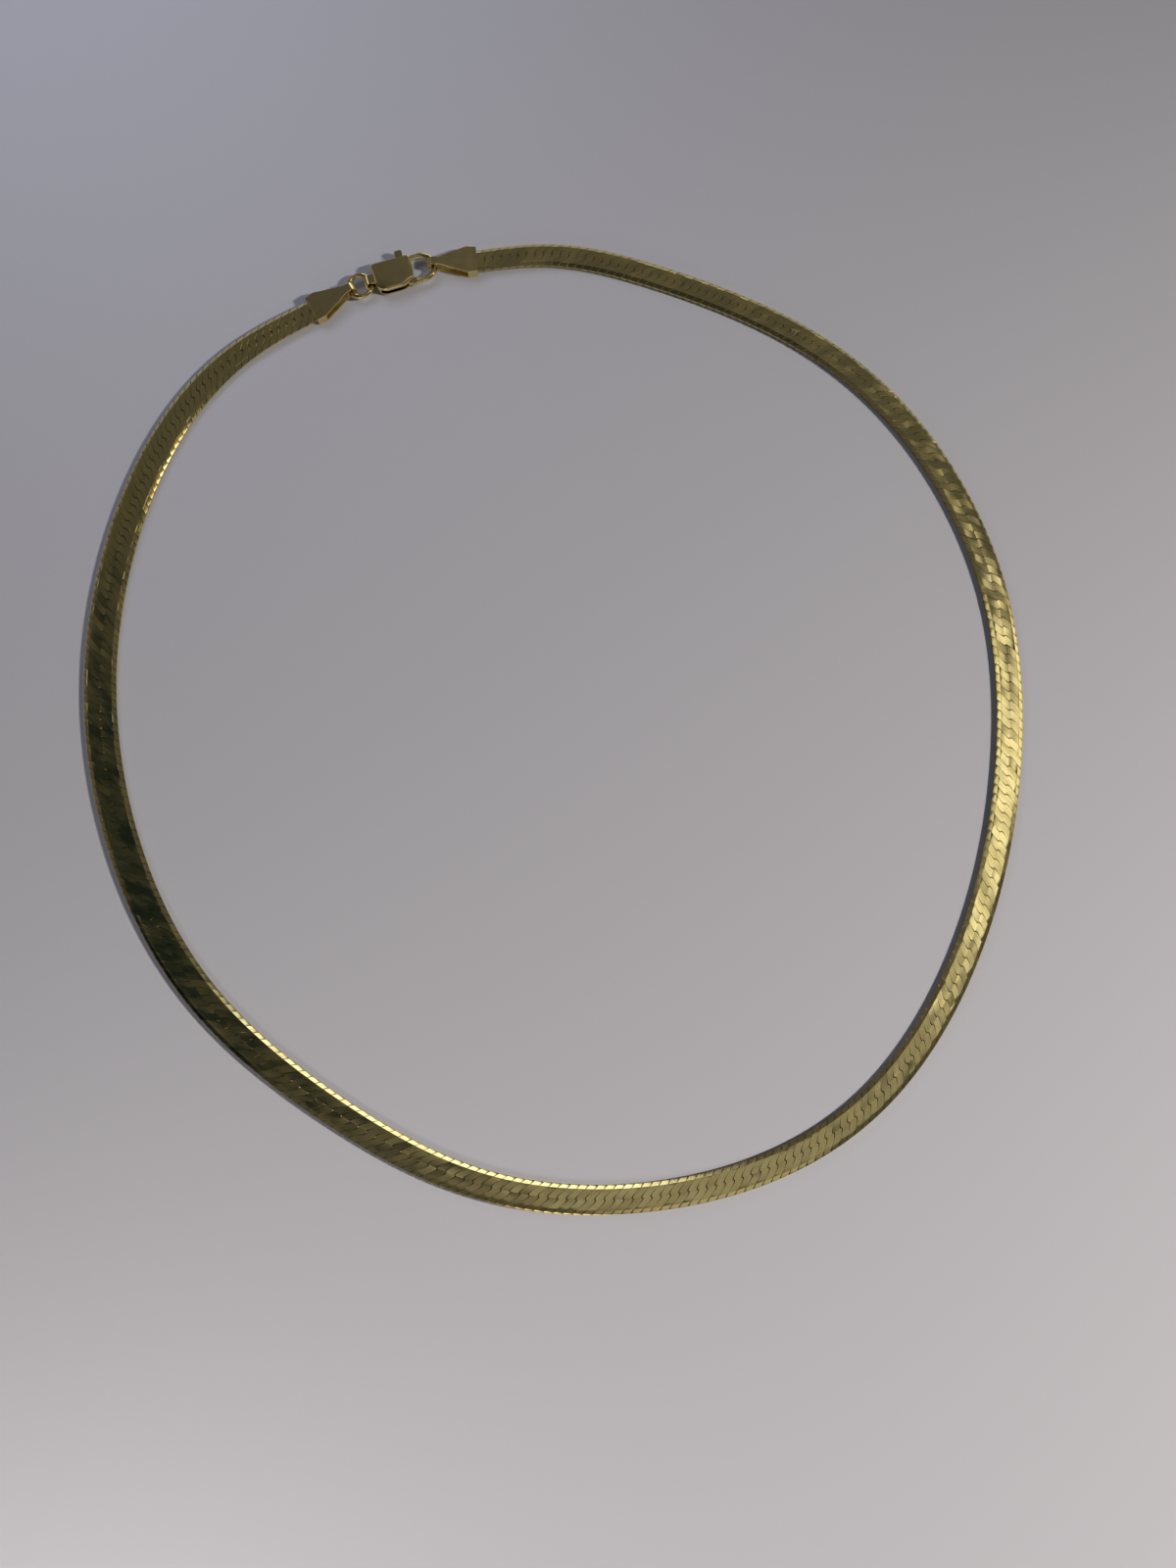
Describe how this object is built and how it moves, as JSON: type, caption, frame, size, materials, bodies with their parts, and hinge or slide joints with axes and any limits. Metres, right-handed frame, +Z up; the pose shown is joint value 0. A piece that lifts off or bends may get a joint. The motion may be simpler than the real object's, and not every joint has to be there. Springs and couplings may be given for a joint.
{
  "type": "herringbone chain necklace",
  "caption": "Flat herringbone chain necklace in gold-coloured metal, lying in a closed loop, with folded end caps, a jump ring and a lobster clasp with a sprung lever.",
  "frame": {"origin": "middle of the loop's outline, on the surface the necklace lies on", "axes": "+Z up from the surface; +Y towards the clasp at the back of the loop; +X to the right with the clasp at the top"},
  "size_m": [0.1282, 0.1362, 0.0022],
  "materials": {
    "band": "polished gold colour, cut in slanted bars",
    "caps": "polished gold-coloured sheet",
    "ring": "polished gold-coloured wire",
    "clasp": "polished gold-coloured casting",
    "lever": "polished gold-coloured casting",
    "pin": "polished gold-coloured wire"
  },
  "bodies": {
    "necklace": {"chain": "band", "end_cap_left": "caps", "end_cap_right": "caps", "jump_ring": "ring", "clasp_body": "clasp", "clasp_pin": "pin"},
    "lever": {"clasp_lever": "lever"}
  },
  "joints": [
    {"name": "lever_hinge", "type": "hinge", "parent": "necklace", "child": "lever", "pos_m": [-0.02284, 0.0626, 0.001], "axis": [0, 0, 1], "range_deg": [0, 25], "stiffness_Nm_per_rad": 0.0001, "springref_deg": -17.19}
  ]
}
